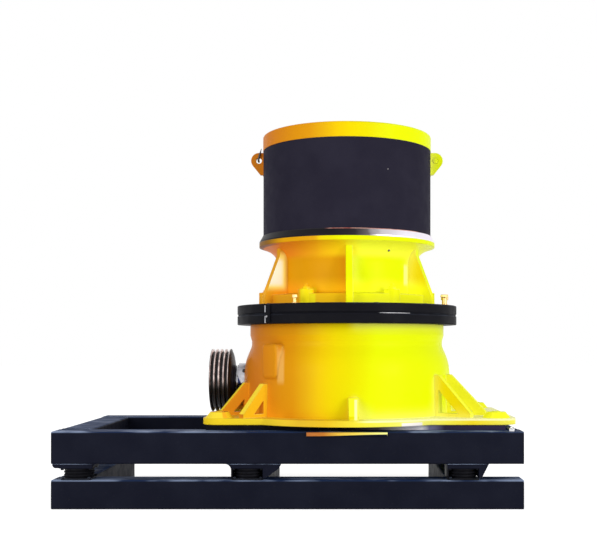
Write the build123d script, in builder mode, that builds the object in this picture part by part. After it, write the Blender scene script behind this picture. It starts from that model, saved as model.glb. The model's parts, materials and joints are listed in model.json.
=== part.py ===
"""A skid-mounted cone crusher, in millimetres, +Z up.

The origin is the middle of the skid's footprint on the ground, +X runs along the skid towards the
crusher's end, and the crusher's own axis is upright at X = crusher_x, Y = 0.
"""
from build123d import *
from math import asin, cos, degrees, sin, radians
import os

os.makedirs("parts", exist_ok=True)

# Skid: two frames of box beams, one above the other
skid_length = 2920
skid_width = 1500
beam_width = 200
lower_beam_height = 180
upper_beam_height = 200
frame_gap = 100
beam_corner = 14
weld_gap = 0.3
crusher_from_right_end = 1093
cross_beam_width = 180
cross_beam_from_axis = 750

# Rubber mounts between the two frames
left_mount_from_end = 150
right_mount_from_end = 370
middle_mount_from_axis = 615
rubber_radius = 88
rubber_layers = 4
steel_leaf = 5
leaf_inset = 6
bracket_thickness = 28
bracket_length = 205
bracket_depth = 180
bracket_toe = {"left": 0, "middle": 105, "right": 52}
bracket_web = 16
bracket_toe_clear = 12

# Pads and cleats between the skid and the crusher
pad_thickness = 32
pad_inset = 10
pad_from_left_foot = 28
pad_from_right_foot = 78
cleat_length = 500
cleat_height = 24
cleat_thickness = 12
cleat_drop = 3

# Bottom shell casting
base_thickness = 40
foot_boss_radius = 90
foot_boss_height = 38
foot_boss_draft = 40
foot_boss_from_front = 100
foot_boss_from_left = 103
foot_boss_from_right = 123
base_ledge = 108
foot_run_left = 206
foot_run_right = 366
foot_edge_from_skid = 125
sheave_slot_half = 245
sheave_slot_clear = 33
foot_corner = 110
discharge_inset = 172
hub_clear_inset = 82
shell_height = 600
shell_foot_radius = 712
shell_top_inset = 48
shell_band_height = 72
shell_neck_inset = 59
shell_neck_drop = 40
shell_neck_height = 26
shell_shoulder_inset = 36
shell_shoulder_drop = 60
shell_waist_inset = 6
shell_waist_height = 250
shell_wall = 45
shell_inner_taper = 100
cover_proud = 10
cover_width = 132
cover_height = 220
cover_from_top = 130
cover_angle = 226
cover_corner = 24
cover_edge = 12
gusset_thickness = 44
gusset_toe = 26
gusset_crest = 30
gusset_hole_floor = 24
gusset_hole_wall = 27
gusset_hole_toe = 88
right_gusset_run = 258
right_gusset_height = 268
right_gusset_angles = (55, 71)
left_gusset_run = 188
left_gusset_height = 215
left_gusset_angles = (48, 68)
front_gusset_run = 94
front_gusset_height = 135
front_gusset_thickness = 62
front_gusset_turn = 3

# Joint rings between the two shells
joint_overhang = 88
joint_inset = 104
joint_ring_height = 64
concave_seat = 30
joint_notch = 9
joint_edge = 6

# Top shell casting
band_from_joint = 28
band_height = 64
throat_from_joint = 85
top_wall = 40
skirt_from_joint = 40
skirt_inner_height = 138
band_slope = 12
flange_curve_height = 135
top_shell_height = 430
top_flange_overhang = 127.5
top_flange_rim = 28
rib_thickness = 46
rib_count = 6
rib_turn = 1.5
rib_foot_run = 62
rib_foot_slope = 10
rib_top_run = 57
rib_top_drop = 70
rib_top_lip = 12
boss_radius = 52
boss_height = 94
boss_from_band = 34
boss_screw_radius = 13
boss_screw_height = 36

# Crushing chamber
chamber_clear = 0.3
concave_top_inset = 83
concave_neck_inset = 91
concave_neck_height = 170
concave_low_inset = 32
concave_top_drop = 54
concave_foot_height = 5
mantle_gap = 28
mantle_mid_share = 0.78125
mantle_top_share = 0.8
mantle_thickness = 50
mantle_underside = 12
mantle_lip = 45
mantle_slope_height = 290
mantle_neck_height = 140
head_skirt_height = 105
head_foot_radius = 290
shaft_radius = 100
shaft_top_gap = 30
nut_radius = 172
nut_height = 70
nut_chamfer = 18

# Hub inside the bottom shell
hub_radius = 270
hub_from_shell_top = 170
hub_below_base = 10
arm_width = 90
arm_height = 250
arm_lift = 45
cylinder_radius = 200
cylinder_height = 305
cylinder_flange_radius = 260
cylinder_flange = 40
cylinder_round = 25

# Spider
spider_ring_height = 46
spider_ring_width = 102.5
spider_bevel = 22
spider_edge = 8
spider_hub_radius = 172
spider_hub_drop = 47
spider_hub_height = 235
spider_hub_roof = 20
spider_arm_width = 100
spider_arm_sink = 30
spider_arm_shoulder = 30
spider_arm_drop = 10
spider_arm_floor_rise = 20
spider_arm_clear = 6
spider_arm_count = 3
spider_arm_end_inset = 23
spider_arm_end_rise = 34
cap_height = 88
cap_radius = 160
cap_edge = 22

# Hopper
hopper_ledge = 27.5
hopper_wall = 12
hopper_height = 584
rim_height = 99
rim_proud = 2
rim_wall = 30
rim_round = 11
eye_thickness = 26
eye_height = 152
eye_hole_radius = 20
eye_round = 54
eye_hole_out = 32
eye_root_out = 22
eye_sweep = 125
cut_margin = 1

# Drive
drive_rise = 222
drive_shaft_radius = 40
bearing_clear = 0.08
bore_end_gap = 20
drive_shaft_from_hub = 30
drive_shaft_proud = 7
drive_shaft_chamfer = 4
housing_radius = 116
housing_proud = 30
seal_radius = 88
seal_length = 14
sheave_radius = 214
sheave_from_shell = 85
sheave_width = 130
groove_count = 4
groove_pitch = 31
groove_depth = 25
groove_floor = 10
groove_mouth = 23
sheave_rim_inner = 168
sheave_web = 34
sheave_web_inset = 30
sheave_hub_radius = 118
sheave_hub_nose = 100
sheave_hub_draft = 12
hub_from_seal = 7
bush_radius = 66
bush_inset = 6
bush_from_face = 17

# Places and heights that follow from the sizes above
crusher_x = skid_length / 2 - crusher_from_right_end
long_y = (skid_width - beam_width) / 2
front_mounts = {"left": left_mount_from_end - skid_length / 2, "middle": crusher_x - middle_mount_from_axis,
                "right": skid_length / 2 - right_mount_from_end}
rear_mounts = front_mounts | {"left": (bracket_length - skid_length) / 2}
foot_edge_y = skid_width / 2 - foot_edge_from_skid
foot_reach_left = shell_foot_radius + foot_run_left
foot_reach_right = shell_foot_radius + foot_run_right
foot_boss_left = foot_reach_left - foot_boss_from_left
foot_boss_right = foot_reach_right - foot_boss_from_right
pad_reach_left = foot_reach_left - pad_from_left_foot
pad_reach_right = foot_reach_right - pad_from_right_foot
base_radius = shell_foot_radius + base_ledge
shell_waist_radius = shell_foot_radius - shell_waist_inset
shell_shoulder_radius = shell_foot_radius - shell_shoulder_inset
shell_neck_radius = shell_foot_radius - shell_neck_inset
shell_top_radius = shell_foot_radius - shell_top_inset
cover_radius = shell_foot_radius + cover_proud
discharge_radius = shell_foot_radius - discharge_inset
hub_clear_radius = shell_foot_radius - hub_clear_inset
joint_radius = shell_top_radius + joint_overhang
joint_inner_radius = shell_top_radius - joint_inset
band_radius = joint_inner_radius + band_from_joint
skirt_inner_radius = joint_inner_radius - skirt_from_joint
throat_radius = joint_inner_radius - throat_from_joint
rib_foot_reach = band_radius + rib_foot_run
rib_top_reach = throat_radius + rib_top_run
boss_circle = band_radius - boss_from_band
top_flange_radius = throat_radius + top_flange_overhang
concave_inner_top = throat_radius - concave_top_inset
concave_inner_neck = throat_radius - concave_neck_inset
concave_inner_low = joint_inner_radius - concave_low_inset
mantle_low_radius = concave_inner_low - mantle_gap
mantle_mid_radius = concave_inner_neck * mantle_mid_share
mantle_top_radius = mantle_mid_radius * mantle_top_share
spider_ring_inner = top_flange_radius - spider_ring_width
hopper_radius = top_flange_radius - hopper_ledge
spider_arm_end = hopper_radius - spider_arm_end_inset
rim_radius = hopper_radius + rim_proud
drive_shaft_inner = hub_radius + drive_shaft_from_hub
lower_top = lower_beam_height
upper_bottom = lower_top + frame_gap
upper_top = upper_bottom + upper_beam_height
base_bottom = upper_top + pad_thickness
base_top = base_bottom + base_thickness
drive_height = base_top + drive_rise
shell_top = base_top + shell_height
joint_mid = shell_top + joint_ring_height
joint_top = joint_mid + joint_ring_height
top_shell_top = joint_top + top_shell_height
spider_top = top_shell_top + spider_ring_height
hopper_top = spider_top + hopper_height
hub_floor = base_bottom - hub_below_base + arm_lift
hub_top = shell_top - hub_from_shell_top
mantle_low = hub_top + head_skirt_height
mantle_mid = mantle_low + mantle_lip + mantle_slope_height
mantle_top = mantle_mid + mantle_neck_height
spider_hub_floor = top_shell_top - spider_hub_drop
spider_hub_top = spider_hub_floor + spider_hub_height
housing_end = shell_foot_radius + housing_proud
sheave_hub_start = housing_end + seal_length + hub_from_seal
sheave_inner_face = shell_foot_radius + sheave_from_shell
sheave_outer_face = sheave_inner_face + sheave_width
sheave_slot_x = sheave_inner_face - sheave_slot_clear
drive_shaft_outer = sheave_outer_face + drive_shaft_proud
bush_end = sheave_outer_face - bush_from_face

crusher_axis = Axis((crusher_x, 0, 0), (0, 0, 1))
drive_axis = Axis((crusher_x, 0, drive_height), (-1, 0, 0))


def level(z):
    """A horizontal plane at height z, centred on the crusher's axis."""
    return Plane(origin=(crusher_x, 0, z), x_dir=(1, 0, 0), z_dir=(0, 0, 1))


def radial(angle):
    """An upright plane through the crusher's axis: local x is the radius, local y the height."""
    a = radians(angle)
    return Plane(origin=(crusher_x, 0, 0), x_dir=(cos(a), sin(a), 0), z_dir=(sin(a), -cos(a), 0))


def save(piece, name):
    piece.label = name
    export_step(piece, f"parts/{name}.step")


def box_beam(name, length, width, height, centre, across=False):
    """One box beam with rounded corners, along X, or along Y when it runs across the skid."""
    along = Axis.Y if across else Axis.X
    size = (width, length, height) if across else (length, width, height)
    with BuildPart(Plane(origin=centre)) as beam:
        Box(*size)
        fillet(beam.edges().filter_by(along), beam_corner)
    save(beam.part, name)


def lower_frame():
    """A long beam in front, and a beam that runs back from it under each of the rear mounts."""
    z = lower_beam_height / 2
    length = skid_width - beam_width - weld_gap
    box_beam("lower_front_beam", skid_length, beam_width, lower_beam_height, (0, -long_y, z))
    middle = (skid_width - length) / 2
    for place, x in rear_mounts.items():
        box_beam(f"lower_{place}_beam", length, beam_width, lower_beam_height, (x, middle, z), across=True)


def upper_frame():
    """Long beams in front and behind, and three short ones between them."""
    z = upper_bottom + upper_beam_height / 2
    length = skid_width - 2 * beam_width - 2 * weld_gap
    short_x = (skid_length - beam_width) / 2
    box_beam("upper_front_beam", skid_length, beam_width, upper_beam_height, (0, -long_y, z))
    box_beam("upper_rear_beam", skid_length, beam_width, upper_beam_height, (0, long_y, z))
    box_beam("upper_left_beam", length, beam_width, upper_beam_height, (-short_x, 0, z), across=True)
    box_beam("upper_right_beam", length, beam_width, upper_beam_height, (short_x, 0, z), across=True)
    box_beam("upper_cross_beam", length, cross_beam_width, upper_beam_height,
             (crusher_x - cross_beam_from_axis, 0, z), across=True)


lower_frame()
upper_frame()


def rubber_mount(name, x, y):
    """A bonded stack of rubber layers with inset steel leaves, from the lower frame to its bracket."""
    stack = frame_gap - bracket_thickness
    layer = (stack - (rubber_layers - 1) * steel_leaf) / rubber_layers
    z = lower_top
    with BuildPart() as mount:
        for index in range(rubber_layers):
            with BuildSketch(Plane(origin=(x, y, z))):
                Circle(rubber_radius)
            extrude(amount=layer)
            z += layer
            if index < rubber_layers - 1:
                with BuildSketch(Plane(origin=(x, y, z))):
                    Circle(rubber_radius - leaf_inset)
                extrude(amount=steel_leaf)
                z += steel_leaf
    save(mount.part, name)


def mount_bracket(name, x, y, toe):
    """The steel plate over a mount, under the upper beam, with a sloping web down to its side."""
    plate_z = upper_bottom - bracket_thickness / 2
    with BuildPart() as bracket:
        with Locations((x, y, plate_z)):
            Box(bracket_length, bracket_depth, bracket_thickness)
        if toe:
            start = x + rubber_radius + leaf_inset
            end = x + bracket_length / 2 + toe
            floor = lower_top + bracket_toe_clear
            with BuildSketch(Plane(origin=(0, y, 0), x_dir=(1, 0, 0), z_dir=(0, -1, 0))):
                with BuildLine():
                    Polyline((start, upper_bottom), (end, upper_bottom), (end - bracket_thickness / 2,
                             upper_bottom - bracket_thickness), (start + bracket_web, floor),
                             (start, floor), close=True)
                make_face()
            extrude(amount=bracket_depth / 2, both=True)
    save(bracket.part, name)


for side, y, mounts in (("front", -long_y, front_mounts), ("rear", long_y, rear_mounts)):
    for place, x in mounts.items():
        rubber_mount(f"mount_{side}_{place}", x, y)
        mount_bracket(f"bracket_{side}_{place}", x, y, bracket_toe[place])


def pads_and_cleats():
    """Rubber strips under the crusher's base, and a locating cleat on each long beam's face."""
    pad_outer = foot_edge_y - pad_inset
    pad_inner = skid_width / 2 - beam_width
    cleat_y = (skid_width + cleat_thickness) / 2
    for side, sign in (("front", -1), ("rear", 1)):
        with BuildPart() as pad:
            with Locations((crusher_x + (pad_reach_right - pad_reach_left) / 2,
                            sign * (pad_outer + pad_inner) / 2, upper_top + pad_thickness / 2)):
                Box(pad_reach_right + pad_reach_left, pad_outer - pad_inner, pad_thickness)
        save(pad.part, f"pad_{side}")
        with BuildPart() as cleat:
            with Locations((crusher_x, sign * cleat_y, upper_top - cleat_drop - cleat_height / 2)):
                Box(cleat_length, cleat_thickness, cleat_height)
        save(cleat.part, f"cleat_{side}")


pads_and_cleats()


def gusset_outline(run, height):
    """A gusset's side view, as radius and height: from the wall down to its toe on the base."""
    root = shell_waist_radius - shell_wall / 2
    reach = shell_foot_radius + run
    return [(root, base_top), (reach, base_top), (reach, base_top + gusset_toe),
            (shell_waist_radius + gusset_crest, base_top + height), (root, base_top + height)]


def gusset_hole(run, height):
    """The three-cornered opening through a long gusset, set in from its edges."""
    low = base_top + gusset_hole_floor
    inner = shell_foot_radius + gusset_hole_wall
    outer = shell_foot_radius + run - gusset_hole_toe
    slope = (height - gusset_toe) / (shell_foot_radius + run - shell_waist_radius - gusset_crest)
    return [(inner, low), (outer, low), (inner, low + (outer - inner) * slope)]


def long_gussets():
    """The angle, run and height of each gusset that goes down to a foot."""
    for middle in (90, 270):
        right_turn = 1 if middle == 270 else -1
        for turn, angles, run, height in (
            (right_turn, right_gusset_angles, right_gusset_run, right_gusset_height),
            (-right_turn, left_gusset_angles, left_gusset_run, left_gusset_height),
        ):
            for angle in angles:
                yield middle + turn * angle, run, height


def bottom_shell():
    """The lower casting: a flared wall on a base plate with feet, gussets and a cover pad."""
    reach = foot_reach_left + foot_reach_right
    middle = (foot_reach_right - foot_reach_left) / 2
    boss_y = foot_edge_y - foot_boss_from_front
    with BuildPart() as shell:
        with BuildSketch(level(base_bottom)):
            Circle(base_radius)
            with Locations((middle, 0)):
                RectangleRounded(reach, 2 * foot_edge_y, foot_corner)
            with Locations((-sheave_slot_x - foot_reach_left / 2, 0)):
                Rectangle(foot_reach_left, 2 * sheave_slot_half, mode=Mode.SUBTRACT)
        extrude(amount=base_thickness)
        with BuildSketch(level(base_top)):
            with Locations((-foot_boss_left, -boss_y), (-foot_boss_left, boss_y),
                           (foot_boss_right, -boss_y), (foot_boss_right, boss_y)):
                Circle(foot_boss_radius)
        extrude(amount=foot_boss_height, taper=foot_boss_draft)
        with BuildSketch(radial(0)):
            with BuildLine():
                top = (shell_top_radius, shell_top)
                band = (shell_top_radius, shell_top - shell_band_height)
                neck = (shell_neck_radius, shell_top - shell_band_height - shell_neck_drop)
                under_neck = (shell_neck_radius, neck[1] - shell_neck_height)
                shoulder = (shell_shoulder_radius, under_neck[1] - shell_shoulder_drop)
                waist = (shell_waist_radius, base_top + shell_waist_height)
                foot = (shell_foot_radius, base_top)
                Polyline(top, band, neck, under_neck)
                Spline(under_neck, shoulder, waist, tangents=((0.2, -1), (0.02, -1)))
                Line(waist, foot)
                Polyline(foot, (shell_foot_radius, base_bottom), (discharge_radius, base_bottom),
                         (discharge_radius, shell_top), top)
            make_face()
        revolve(axis=crusher_axis)
        for angle, run, height in long_gussets():
            with BuildSketch(radial(angle)):
                with BuildLine():
                    Polyline(*gusset_outline(run, height), close=True)
                make_face()
                with BuildLine():
                    Polyline(*gusset_hole(run, height), close=True)
                make_face(mode=Mode.SUBTRACT)
            extrude(amount=gusset_thickness / 2, both=True)
        for angle in (90 - front_gusset_turn, 270 + front_gusset_turn):
            with BuildSketch(radial(angle)):
                with BuildLine():
                    Polyline(*gusset_outline(front_gusset_run, front_gusset_height), close=True)
                make_face()
            extrude(amount=front_gusset_thickness / 2, both=True)
        cover_middle = shell_top - cover_from_top - cover_height / 2
        cover_root = hub_clear_radius
        turn = radians(cover_angle)
        cover_plane = Plane(origin=(crusher_x + cover_root * cos(turn), cover_root * sin(turn), cover_middle),
                            x_dir=(-sin(turn), cos(turn), 0), z_dir=(cos(turn), sin(turn), 0))
        with BuildPart(mode=Mode.PRIVATE) as cover:
            with BuildSketch(cover_plane):
                RectangleRounded(cover_width, cover_height, cover_corner)
            extrude(amount=cover_radius - cover_root)
            outer_face = cover.faces().sort_by(Axis(cover_plane.origin, cover_plane.z_dir))[-1]
            fillet(outer_face.edges(), cover_edge)
        add(cover.part)
        with BuildSketch(radial(0)):
            with BuildLine():
                inner = shell_top_radius - shell_wall
                Polyline((0, base_bottom), (discharge_radius, base_bottom), (discharge_radius, base_top),
                         (hub_clear_radius, base_top + shell_wall),
                         (hub_clear_radius, shell_top - shell_wall - shell_inner_taper),
                         (inner, shell_top - shell_wall), (inner, shell_top), (0, shell_top), close=True)
            make_face()
        revolve(axis=crusher_axis, mode=Mode.SUBTRACT)
        with BuildSketch(Plane(origin=(crusher_x - discharge_radius, 0, drive_height), z_dir=(-1, 0, 0))):
            Circle(housing_radius + chamber_clear)
        extrude(amount=foot_reach_left, mode=Mode.SUBTRACT)
    save(shell.part, "bottom_shell")


bottom_shell()


def hub_and_arms():
    """The inner hub with its four arms and the drive housing, and the hydraulic cylinder below."""
    arm_floor = base_top + arm_lift
    with BuildPart() as hub:
        with BuildSketch(level(arm_floor)):
            Rectangle(3 * hub_clear_radius, arm_width)
            Rectangle(arm_width, 3 * hub_clear_radius)
        extrude(amount=arm_height)
        with BuildSketch(level(arm_floor)):
            Circle(hub_clear_radius - weld_gap)
        extrude(amount=arm_height, mode=Mode.INTERSECT)
        with BuildSketch(Plane(origin=(crusher_x, 0, drive_height), z_dir=(-1, 0, 0))):
            Circle(housing_radius)
        extrude(amount=housing_end)
        with BuildSketch(level(hub_floor)):
            Circle(hub_radius)
        extrude(amount=hub_top - hub_floor)
        bore_end = drive_shaft_inner - bore_end_gap
        with BuildSketch(Plane(origin=(crusher_x - bore_end, 0, drive_height), z_dir=(-1, 0, 0))):
            Circle(drive_shaft_radius + bearing_clear)
        extrude(amount=housing_end, mode=Mode.SUBTRACT)
    save(hub.part, "hub_and_arms")
    with BuildPart() as cylinder:
        with BuildSketch(level(hub_floor - cylinder_height)):
            Circle(cylinder_radius)
        extrude(amount=cylinder_height)
        with BuildSketch(level(hub_floor - cylinder_flange)):
            Circle(cylinder_flange_radius)
        extrude(amount=cylinder_flange)
        fillet(cylinder.edges().group_by(Axis.Z)[0], cylinder_round)
    save(cylinder.part, "hydraulic_cylinder")


hub_and_arms()


def joint_rings():
    """The two thick bolted rings where the shells meet, with a notch round the outside between them."""
    for name, low, high, notch_up in (
        ("joint_ring_lower", shell_top, joint_mid, True),
        ("joint_ring_upper", joint_mid, joint_top, False),
    ):
        with BuildPart() as ring:
            with BuildSketch(level(low)):
                Circle(joint_radius)
                Circle(joint_inner_radius, mode=Mode.SUBTRACT)
            extrude(amount=high - low)
            outer = ring.edges().filter_by(GeomType.CIRCLE).group_by(SortBy.RADIUS)[-1].sort_by(Axis.Z)
            notch_edge = outer[-1] if notch_up else outer[0]
            chamfer(notch_edge, joint_notch)
            fillet(ring.edges().filter_by(GeomType.CIRCLE).group_by(SortBy.RADIUS)[-1].sort_by(Axis.Z)[
                0 if notch_up else -1], joint_edge)
        save(ring.part, name)


joint_rings()


def top_shell():
    """The upper casting: a foot band, a throat with six ribs, and a flange that curves out at the top."""
    inner = throat_radius - top_wall
    rim_low = top_shell_top - top_flange_rim
    boss_start = 270 + rib_turn + 180 / rib_count
    with BuildPart() as shell:
        with BuildSketch(radial(0)):
            with BuildLine():
                flange_root = (throat_radius, rim_low - flange_curve_height)
                flange_edge = (top_flange_radius, rim_low)
                Polyline(flange_edge, (top_flange_radius, top_shell_top), (inner, top_shell_top),
                         (inner, joint_top + skirt_inner_height), (skirt_inner_radius, joint_top),
                         (band_radius, joint_top), (band_radius, joint_top + band_height),
                         (throat_radius, joint_top + band_height + band_slope), flange_root)
                Spline(flange_root, flange_edge, tangents=((0, 1), (1, 0.25)))
            make_face()
        revolve(axis=crusher_axis)
        for index in range(rib_count):
            with BuildSketch(radial(270 + rib_turn + index * 360 / rib_count)):
                with BuildLine():
                    Polyline((throat_radius - top_wall / 2, joint_top), (rib_foot_reach, joint_top),
                             (rib_foot_reach - rib_foot_slope, joint_top + band_height),
                             (rib_top_reach, rim_low - rib_top_drop), (rib_top_reach, rim_low - rib_top_lip),
                             (throat_radius - top_wall / 2, rim_low - rib_top_lip), close=True)
                make_face()
            extrude(amount=rib_thickness / 2, both=True)
        with BuildSketch(level(joint_top)):
            with PolarLocations(boss_circle, rib_count, start_angle=boss_start):
                Circle(boss_radius)
        extrude(amount=boss_height)
        with BuildSketch(level(joint_top + boss_height)):
            with PolarLocations(boss_circle, rib_count, start_angle=boss_start):
                Circle(boss_screw_radius)
        extrude(amount=boss_screw_height)
        with BuildSketch(radial(0)):
            with BuildLine():
                Polyline((0, joint_top), (skirt_inner_radius, joint_top),
                         (inner, joint_top + skirt_inner_height), (inner, top_shell_top),
                         (0, top_shell_top), close=True)
            make_face()
        revolve(axis=crusher_axis, mode=Mode.SUBTRACT)
    save(shell.part, "top_shell")


top_shell()


def crushing_chamber():
    """The concave liner, the mantle on its head and shaft, and the nut that holds the mantle down."""
    outer = throat_radius - top_wall - chamber_clear
    ring = joint_inner_radius - chamber_clear
    concave_top = top_shell_top - concave_top_drop
    concave_foot = shell_top + concave_foot_height
    with BuildPart() as concave:
        with BuildSketch(radial(0)):
            with BuildLine():
                Polyline((concave_inner_top, concave_top), (outer, concave_top),
                         (outer, joint_top + skirt_inner_height),
                         (skirt_inner_radius - chamber_clear, joint_top), (ring, joint_top - concave_seat),
                         (ring, concave_foot), (concave_inner_low, concave_foot),
                         (concave_inner_neck, concave_top - concave_neck_height), close=True)
            make_face()
        revolve(axis=crusher_axis)
    save(concave.part, "concave")
    with BuildPart() as mantle:
        with BuildSketch(radial(0)):
            with BuildLine():
                Polyline((mantle_top_radius, mantle_top), (mantle_mid_radius, mantle_mid),
                         (mantle_low_radius, mantle_low + mantle_lip), (mantle_low_radius, mantle_low),
                         (mantle_low_radius - mantle_thickness - mantle_underside, mantle_low),
                         (mantle_mid_radius - mantle_thickness, mantle_mid),
                         (mantle_top_radius - mantle_thickness, mantle_top), close=True)
            make_face()
        revolve(axis=crusher_axis)
    save(mantle.part, "mantle")
    with BuildPart() as head:
        with BuildSketch(radial(0)):
            with BuildLine():
                side = mantle_thickness + chamber_clear
                shaft_top = spider_hub_top - shaft_top_gap
                Polyline((0, hub_top + chamber_clear), (head_foot_radius, hub_top + chamber_clear),
                         (head_foot_radius, mantle_low - mantle_underside),
                         (mantle_low_radius - side - mantle_underside, mantle_low),
                         (mantle_mid_radius - side, mantle_mid), (mantle_top_radius - side, mantle_top),
                         (shaft_radius, mantle_top), (shaft_radius, shaft_top), (0, shaft_top), close=True)
            make_face()
        revolve(axis=crusher_axis)
    save(head.part, "head_and_main_shaft")
    with BuildPart() as nut:
        with BuildSketch(level(mantle_top)):
            Circle(nut_radius)
            Circle(shaft_radius + chamber_clear, mode=Mode.SUBTRACT)
        extrude(amount=nut_height)
        chamfer(nut.edges().filter_by(GeomType.CIRCLE).group_by(SortBy.RADIUS)[-1].sort_by(Axis.Z)[-1],
                nut_chamfer)
    save(nut.part, "head_nut")


crushing_chamber()


def spider():
    """The ring that carries the hopper, three arched arms, and the hub that holds the shaft's top."""
    with BuildPart() as casting:
        with BuildSketch(radial(0)):
            with BuildLine():
                Polyline((spider_ring_inner, top_shell_top), (top_flange_radius, top_shell_top),
                         (top_flange_radius, top_shell_top + spider_edge),
                         (top_flange_radius - spider_bevel, spider_top), (spider_ring_inner, spider_top),
                         close=True)
            make_face()
        revolve(axis=crusher_axis)
        for index in range(spider_arm_count):
            with BuildSketch(radial(90 + index * 360 / spider_arm_count)):
                with BuildLine():
                    arm_floor = spider_hub_floor + spider_arm_floor_rise
                    start = (spider_hub_radius - spider_arm_sink, spider_hub_top - spider_arm_drop)
                    shoulder = (spider_hub_radius + spider_arm_shoulder, spider_hub_top - spider_arm_drop)
                    end = (spider_arm_end, spider_top + spider_arm_end_rise)
                    Line(start, shoulder)
                    Spline(shoulder, end, tangents=((1, -0.05), (0.55, -1)))
                    Polyline(end, (spider_arm_end, top_shell_top),
                             (throat_radius - top_wall - spider_arm_clear, top_shell_top),
                             (spider_hub_radius, arm_floor),
                             (spider_hub_radius - spider_arm_sink, arm_floor), start)
                make_face()
            extrude(amount=spider_arm_width / 2, both=True)
        with BuildSketch(level(spider_hub_floor)):
            Circle(spider_hub_radius)
        extrude(amount=spider_hub_height)
        with BuildSketch(level(spider_hub_floor)):
            Circle(shaft_radius + chamber_clear)
        extrude(amount=spider_hub_height - spider_hub_roof, mode=Mode.SUBTRACT)
    save(casting.part, "spider")
    rise = cap_height - cap_edge
    sphere = (cap_radius ** 2 + rise ** 2) / (2 * rise)
    half_angle = degrees(asin(cap_radius / sphere))
    with BuildPart() as cap:
        with BuildSketch(radial(0)):
            with BuildLine():
                Polyline((0, spider_hub_top + cap_height), (0, spider_hub_top), (cap_radius, spider_hub_top),
                         (cap_radius, spider_hub_top + cap_edge))
                CenterArc((0, spider_hub_top + cap_height - sphere), sphere, 90 - half_angle, half_angle)
            make_face()
        revolve(axis=crusher_axis)
    save(cap.part, "spider_cap")


spider()


def hopper():
    """The round feed hopper, its rim and the two lifting eyes on its sides."""
    with BuildPart() as drum:
        with BuildSketch(level(spider_top)):
            Circle(hopper_radius)
            Circle(hopper_radius - hopper_wall, mode=Mode.SUBTRACT)
        extrude(amount=hopper_height)
    save(drum.part, "hopper")
    with BuildPart() as rim:
        with BuildSketch(level(hopper_top)):
            Circle(rim_radius)
            Circle(rim_radius - rim_wall, mode=Mode.SUBTRACT)
        extrude(amount=rim_height)
        fillet(rim.edges().group_by(Axis.Z)[-1], rim_round)
    save(rim.part, "hopper_rim")
    for name, sign in (("lifting_eye_left", -1), ("lifting_eye_right", 1)):
        root = hopper_radius - hopper_wall
        hole_x = hopper_radius + eye_hole_out
        hole_z = hopper_top - eye_round
        with BuildPart() as eye:
            with BuildSketch(radial(90 - sign * 90)):
                with BuildLine():
                    Polyline((root, hopper_top), (hole_x, hopper_top))
                    CenterArc((hole_x, hole_z), eye_round, 90, -eye_sweep)
                    tip_turn = radians(90 - eye_sweep)
                    tip = (hole_x + eye_round * cos(tip_turn), hole_z + eye_round * sin(tip_turn))
                    Polyline(tip, (hopper_radius + eye_root_out, hopper_top - eye_height),
                             (root, hopper_top - eye_height), (root, hopper_top))
                make_face()
                with Locations((hole_x, hole_z)):
                    Circle(eye_hole_radius, mode=Mode.SUBTRACT)
            extrude(amount=eye_thickness / 2, both=True)
            with BuildSketch(level(hopper_top - eye_height - cut_margin)):
                Circle(hopper_radius + weld_gap)
            extrude(amount=eye_height + 2 * cut_margin, mode=Mode.SUBTRACT)
        save(eye.part, name)


hopper()


def groove_outline():
    """The rim's outline, from its inner face to its outer face, with V grooves between flat lands."""
    land = (groove_pitch - groove_mouth) / 2
    edge = (sheave_width - groove_count * groove_pitch) / 2
    points = [(sheave_inner_face, sheave_radius)]
    for index in range(groove_count):
        start = sheave_inner_face + edge + index * groove_pitch + land
        slope = (groove_mouth - groove_floor) / 2
        points += [(start, sheave_radius), (start + slope, sheave_radius - groove_depth),
                   (start + slope + groove_floor, sheave_radius - groove_depth),
                   (start + groove_mouth, sheave_radius)]
    return points + [(sheave_outer_face, sheave_radius)]


def drive_level(out):
    """An upright plane across the drive's axis, at a distance out from the crusher's axis."""
    return Plane(origin=(crusher_x - out, 0, drive_height), z_dir=(-1, 0, 0))


def drive():
    """The seal on the housing's end, and what turns: the drive shaft, its bush and the grooved sheave."""
    drive_plane = Plane(origin=(crusher_x, 0, drive_height), x_dir=(-1, 0, 0), z_dir=(0, 1, 0))
    with BuildPart() as seal:
        with BuildSketch(drive_level(housing_end)):
            Circle(seal_radius)
            Circle(drive_shaft_radius + bearing_clear, mode=Mode.SUBTRACT)
        extrude(amount=seal_length)
    save(seal.part, "shaft_seal")
    with BuildPart() as shaft:
        with BuildSketch(drive_level(drive_shaft_inner)):
            Circle(drive_shaft_radius)
        extrude(amount=drive_shaft_outer - drive_shaft_inner)
        chamfer(shaft.edges().group_by(Axis.X)[0], drive_shaft_chamfer)
    save(shaft.part, "drive_shaft")
    with BuildPart() as bush:
        with BuildSketch(drive_level(sheave_hub_start + bush_inset)):
            Circle(bush_radius)
            Circle(drive_shaft_radius, mode=Mode.SUBTRACT)
        extrude(amount=bush_end - sheave_hub_start - bush_inset)
    save(bush.part, "taper_bush")
    web_start = sheave_inner_face + sheave_web_inset
    web_end = web_start + sheave_web
    with BuildPart() as sheave:
        with BuildSketch(drive_plane):
            with BuildLine():
                Polyline(*groove_outline(), (sheave_outer_face, sheave_rim_inner),
                         (web_end, sheave_rim_inner), (web_end, sheave_hub_radius),
                         (bush_end, sheave_hub_radius - sheave_hub_draft),
                         (bush_end, bush_radius), (sheave_hub_start, bush_radius),
                         (sheave_hub_start, sheave_hub_nose), (web_start, sheave_hub_radius),
                         (web_start, sheave_rim_inner), (sheave_inner_face, sheave_rim_inner), close=True)
            make_face()
        revolve(axis=drive_axis)
    save(sheave.part, "drive_sheave")


drive()
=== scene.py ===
import json
import math

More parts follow.
